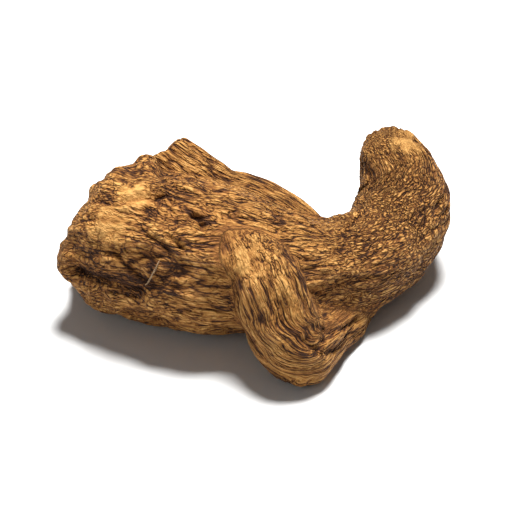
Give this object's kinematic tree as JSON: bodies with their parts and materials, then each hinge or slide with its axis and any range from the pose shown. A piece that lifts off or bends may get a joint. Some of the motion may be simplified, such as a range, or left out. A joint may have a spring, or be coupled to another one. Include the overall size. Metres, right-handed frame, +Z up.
{
  "type": "costus root",
  "caption": "Dried branched costus root: a stout gnarled trunk with a broken crown, a hooked arm, a rib along its back and a side root bent into an elbow.",
  "frame": {"origin": "under the middle of the root's box, on the surface the root lies on", "axes": "+X along the trunk from the broken crown to the hooked arm, +Y from the side root to the root's back, +Z up"},
  "size_m": [0.0815, 0.0617, 0.0319],
  "materials": {
    "bark": "dry matt wrinkled bark, ochre-brown with darker fissures and paler worn ridges"
  },
  "bodies": {
    "root": {"costus_root": "bark"}
  },
  "joints": []
}
